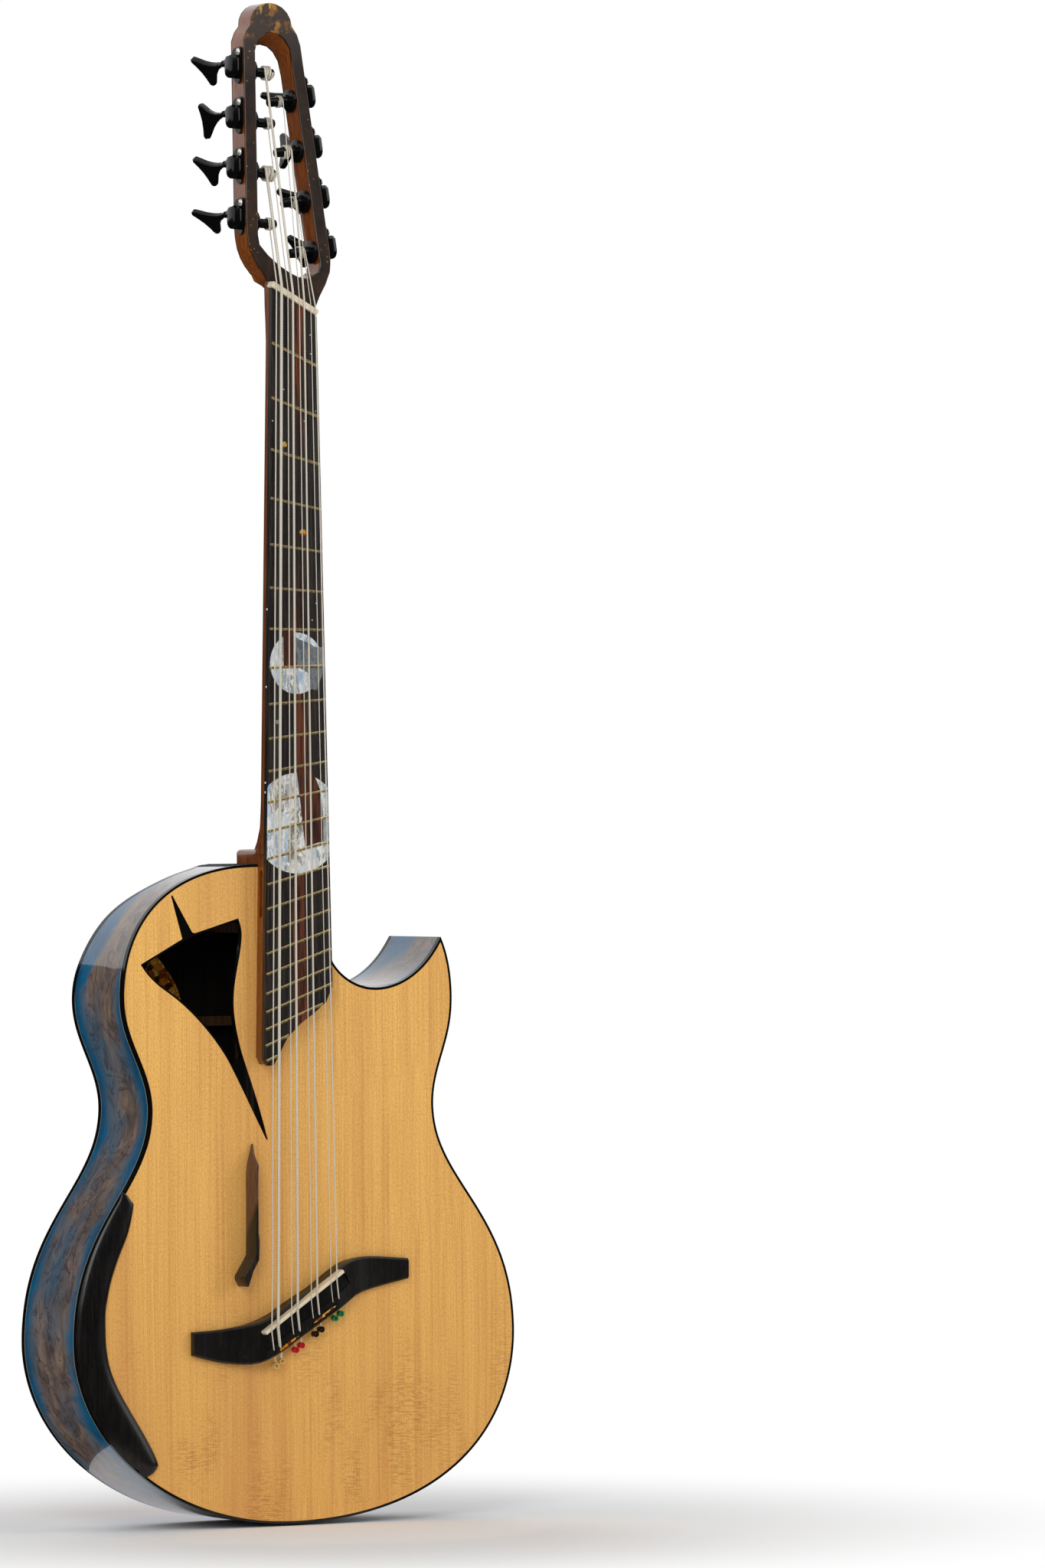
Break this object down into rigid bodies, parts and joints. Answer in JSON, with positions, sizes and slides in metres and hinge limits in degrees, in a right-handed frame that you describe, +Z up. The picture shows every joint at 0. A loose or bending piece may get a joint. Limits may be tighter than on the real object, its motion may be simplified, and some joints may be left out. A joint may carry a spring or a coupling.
{
  "type": "acoustic bass guitar",
  "caption": "Acoustic bass guitar with a cutaway body, shield-shaped sound hole, slanted bridge and fanned frets, slotted headstock and side-mounted tuning machines, arm rest and sound port.",
  "frame": {"origin": "inside the neck behind the middle of the nut, where a hanger's yoke carries the headstock; X is zero on the neck's centre line and Y is zero on the soundboard's front face", "axes": "+Z up along the neck towards the headstock, -Y out of the soundboard towards the player's listener, +X towards the treble side and the cutaway"},
  "size_m": [0.4242, 0.123, 1.2741],
  "materials": {
    "ebony": "polished near-black wood",
    "soundboard_wood": "clear satin lacquer over honey-coloured softwood",
    "blue_burl": "high gloss lacquer over stained burl",
    "neck_wood": "gloss lacquer",
    "inner_wood": "bare sanded wood",
    "black_binding": "gloss black with pale lines",
    "bone": "polished bone",
    "amber": "clear gloss over crushed amber",
    "flecked_veneer": "gloss dark brown with gold flecks",
    "tuner_black": "gloss black",
    "steel": "satin steel",
    "string_steel": "wound steel strings"
  },
  "bodies": {
    "instrument": {"armrest": "ebony", "back_binding": "black_binding", "back_braces": "inner_wood", "back_inlay": "amber", "back_lining": "inner_wood", "back_plate": "blue_burl", "bridge": "ebony", "bridge_plate": "inner_wood", "end_plug": "ebony", "fretboard": "ebony", "headstock_back_veneer": "flecked_veneer", "headstock_front_veneer": "flecked_veneer", "neck": "neck_wood", "neck_block": "neck_wood", "nut": "bone", "saddle": "bone", "sides": "blue_burl", "soundboard": "soundboard_wood", "soundhole_rim": "ebony", "soundport_frame": "black_binding", "string_1": "string_steel", "string_2": "string_steel", "string_3": "string_steel", "string_4": "string_steel", "string_5": "string_steel", "string_6": "string_steel", "string_7": "string_steel", "string_8": "string_steel", "tail_block": "neck_wood", "thumb_rest": "ebony", "top_binding": "black_binding", "top_braces": "inner_wood", "top_lining": "inner_wood", "truss_rod": "steel", "tuner_housing_bass_1": "tuner_black", "tuner_housing_bass_2": "tuner_black", "tuner_housing_bass_3": "tuner_black", "tuner_housing_bass_4": "tuner_black", "tuner_housing_treble_1": "tuner_black", "tuner_housing_treble_2": "tuner_black", "tuner_housing_treble_3": "tuner_black", "tuner_housing_treble_4": "tuner_black"},
    "key_bass_1": {"tuner_key_bass_1": "tuner_black"},
    "post_bass_1": {"tuner_post_bass_1": "steel"},
    "key_bass_2": {"tuner_key_bass_2": "tuner_black"},
    "post_bass_2": {"tuner_post_bass_2": "steel"},
    "key_bass_3": {"tuner_key_bass_3": "tuner_black"},
    "post_bass_3": {"tuner_post_bass_3": "steel"},
    "key_bass_4": {"tuner_key_bass_4": "tuner_black"},
    "post_bass_4": {"tuner_post_bass_4": "steel"},
    "key_treble_1": {"tuner_key_treble_1": "tuner_black"},
    "post_treble_1": {"tuner_post_treble_1": "steel"},
    "key_treble_2": {"tuner_key_treble_2": "tuner_black"},
    "post_treble_2": {"tuner_post_treble_2": "steel"},
    "key_treble_3": {"tuner_key_treble_3": "tuner_black"},
    "post_treble_3": {"tuner_post_treble_3": "steel"},
    "key_treble_4": {"tuner_key_treble_4": "tuner_black"},
    "post_treble_4": {"tuner_post_treble_4": "steel"}
  },
  "joints": [
    {"name": "key_turn_bass_1", "type": "hinge", "parent": "instrument", "child": "key_bass_1", "pos_m": [-0.04097, 0.00827, 0.07328], "axis": [-0.0078, 0.9921, -0.1255], "continuous": true},
    {"name": "post_turn_bass_1", "type": "hinge", "parent": "instrument", "child": "post_bass_1", "pos_m": [-0.03719, 0.00722, 0.0647], "axis": [-0.9981, 0, 0.0619], "continuous": true},
    {"name": "key_turn_bass_2", "type": "hinge", "parent": "instrument", "child": "key_bass_2", "pos_m": [-0.03834, 0.01366, 0.11568], "axis": [-0.0078, 0.9921, -0.1255], "continuous": true},
    {"name": "post_turn_bass_2", "type": "hinge", "parent": "instrument", "child": "post_bass_2", "pos_m": [-0.03456, 0.0126, 0.1071], "axis": [-0.9981, 0, 0.0619], "continuous": true},
    {"name": "key_turn_bass_3", "type": "hinge", "parent": "instrument", "child": "key_bass_3", "pos_m": [-0.03571, 0.01904, 0.15808], "axis": [-0.0078, 0.9921, -0.1255], "continuous": true},
    {"name": "post_turn_bass_3", "type": "hinge", "parent": "instrument", "child": "post_bass_3", "pos_m": [-0.03193, 0.01799, 0.1495], "axis": [-0.9981, 0, 0.0619], "continuous": true},
    {"name": "key_turn_bass_4", "type": "hinge", "parent": "instrument", "child": "key_bass_4", "pos_m": [-0.03308, 0.02443, 0.20048], "axis": [-0.0078, 0.9921, -0.1255], "continuous": true},
    {"name": "post_turn_bass_4", "type": "hinge", "parent": "instrument", "child": "post_bass_4", "pos_m": [-0.02931, 0.02337, 0.1919], "axis": [-0.9981, 0, 0.0619], "continuous": true},
    {"name": "key_turn_treble_1", "type": "hinge", "parent": "instrument", "child": "key_treble_1", "pos_m": [0.04439, 0.00528, 0.04975], "axis": [0.01, 0.9921, -0.1252], "continuous": true},
    {"name": "post_turn_treble_1", "type": "hinge", "parent": "instrument", "child": "post_treble_1", "pos_m": [0.04077, 0.00422, 0.0411], "axis": [0.9968, 0, 0.0797], "continuous": true},
    {"name": "key_turn_treble_2", "type": "hinge", "parent": "instrument", "child": "key_treble_2", "pos_m": [0.041, 0.01066, 0.09215], "axis": [0.01, 0.9921, -0.1252], "continuous": true},
    {"name": "post_turn_treble_2", "type": "hinge", "parent": "instrument", "child": "post_treble_2", "pos_m": [0.03738, 0.0096, 0.0835], "axis": [0.9968, 0, 0.0797], "continuous": true},
    {"name": "key_turn_treble_3", "type": "hinge", "parent": "instrument", "child": "key_treble_3", "pos_m": [0.03761, 0.01604, 0.13455], "axis": [0.01, 0.9921, -0.1252], "continuous": true},
    {"name": "post_turn_treble_3", "type": "hinge", "parent": "instrument", "child": "post_treble_3", "pos_m": [0.03399, 0.01499, 0.1259], "axis": [0.9968, 0, 0.0797], "continuous": true},
    {"name": "key_turn_treble_4", "type": "hinge", "parent": "instrument", "child": "key_treble_4", "pos_m": [0.03422, 0.02143, 0.17695], "axis": [0.01, 0.9921, -0.1252], "continuous": true},
    {"name": "post_turn_treble_4", "type": "hinge", "parent": "instrument", "child": "post_treble_4", "pos_m": [0.0306, 0.02037, 0.1683], "axis": [0.9968, 0, 0.0797], "continuous": true}
  ],
  "couplings": [
    {"joint": "post_turn_bass_1", "follows": "key_turn_bass_1", "ratio": 0.05},
    {"joint": "post_turn_bass_2", "follows": "key_turn_bass_2", "ratio": 0.05},
    {"joint": "post_turn_bass_3", "follows": "key_turn_bass_3", "ratio": 0.05},
    {"joint": "post_turn_bass_4", "follows": "key_turn_bass_4", "ratio": 0.05},
    {"joint": "post_turn_treble_1", "follows": "key_turn_treble_1", "ratio": 0.05},
    {"joint": "post_turn_treble_2", "follows": "key_turn_treble_2", "ratio": 0.05},
    {"joint": "post_turn_treble_3", "follows": "key_turn_treble_3", "ratio": 0.05},
    {"joint": "post_turn_treble_4", "follows": "key_turn_treble_4", "ratio": 0.05}
  ]
}
